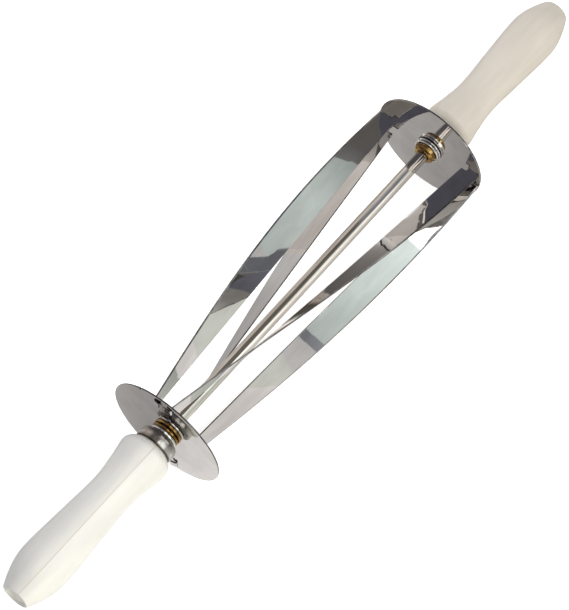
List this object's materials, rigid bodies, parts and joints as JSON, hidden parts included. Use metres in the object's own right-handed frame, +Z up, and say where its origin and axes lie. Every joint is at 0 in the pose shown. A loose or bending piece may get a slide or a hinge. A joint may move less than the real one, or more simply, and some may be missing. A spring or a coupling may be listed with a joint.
{
  "type": "croissant cutter roller",
  "caption": "Two-handled pastry roller: a cage of twisted steel blades between round discs turns on a rod and cuts rolled dough into triangles for croissants.",
  "frame": {"origin": "middle of the cage, on the rod's axis", "axes": "+X along the rod towards the right handle, +Z up, with the blades' corner on top at the left disc"},
  "size_m": [0.5262, 0.08, 0.08],
  "materials": {
    "handle_plastic": "moulded, softly glossy off-white",
    "plug_plastic": "moulded, dull grey-white",
    "blade_steel": "mirror-polished stainless strip with a ground edge",
    "disc_steel": "mirror-polished stainless sheet",
    "rod_steel": "bright drawn bar",
    "ferrule_steel": "satin, spun",
    "plated_steel": "bright plated",
    "brass": "turned, lightly tarnished"
  },
  "bodies": {
    "handles": {"axle_rod": "rod_steel", "left_handle": "handle_plastic", "right_handle": "handle_plastic", "left_end_plug": "plug_plastic", "right_end_plug": "plug_plastic", "left_end_nut": "plated_steel", "right_end_nut": "plated_steel", "left_end_washer": "plated_steel", "right_end_washer": "plated_steel", "left_ferrule": "ferrule_steel", "right_ferrule": "ferrule_steel", "left_stop_nut": "plated_steel", "right_stop_nut": "plated_steel", "left_thrust_washer": "plated_steel", "right_thrust_washer": "plated_steel"},
    "cage": {"left_disc": "disc_steel", "right_disc": "disc_steel", "left_bush": "brass", "right_bush": "brass", "left_lock_washer": "plated_steel", "right_lock_washer": "plated_steel", "left_ring_nut": "plated_steel", "right_ring_nut": "plated_steel", "blade_1": "blade_steel", "blade_2": "blade_steel", "blade_3": "blade_steel", "blade_4": "blade_steel"}
  },
  "joints": [
    {"name": "cage_spin", "type": "hinge", "parent": "handles", "child": "cage", "pos_m": [0, 0, 0], "axis": [1, 0, 0], "continuous": true}
  ]
}
